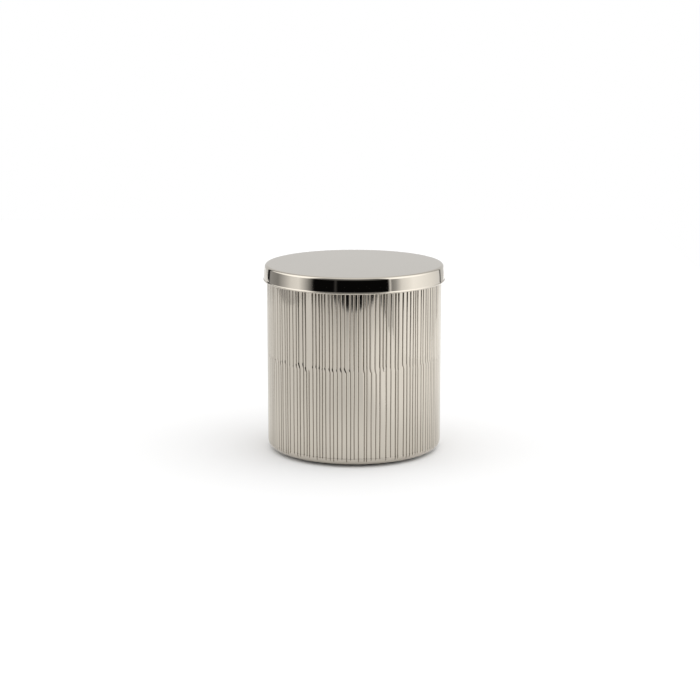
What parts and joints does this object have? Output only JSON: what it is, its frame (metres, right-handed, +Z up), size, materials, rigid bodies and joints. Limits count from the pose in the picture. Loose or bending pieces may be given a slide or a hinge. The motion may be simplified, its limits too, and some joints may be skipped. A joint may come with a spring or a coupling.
{
  "type": "candle tin",
  "caption": "Round polished metal canister with a scored wall and slip-over lid, filled with wax around a single wick.",
  "frame": {"origin": "centre of the base pad's underside, on the surface that the tin stands on", "axes": "+Z up along the tin's axis, towards the lid; the side that faces the viewer is -Y"},
  "size_m": [0.0948, 0.0948, 0.0983],
  "materials": {
    "lid_metal": "polished",
    "wall_metal": "polished",
    "base_metal": "polished",
    "gasket_silicone": "satin",
    "pad_felt": "matte",
    "wax": "satin",
    "wick_cotton": "matte",
    "tab_metal": "satin",
    "sticker_foam": "matte"
  },
  "bodies": {
    "tin": {"tin_wall": "wall_metal", "base_pan": "base_metal", "base_pad": "pad_felt", "wax_fill": "wax", "wick": "wick_cotton", "wick_tab": "tab_metal", "wick_sticker": "sticker_foam"},
    "lid": {"lid_cap": "lid_metal", "lid_gasket": "gasket_silicone"}
  },
  "joints": [
    {"name": "lid_lift", "type": "slide", "parent": "tin", "child": "lid", "axis": [0, 0, 1], "range_m": [0, 0.08]}
  ]
}
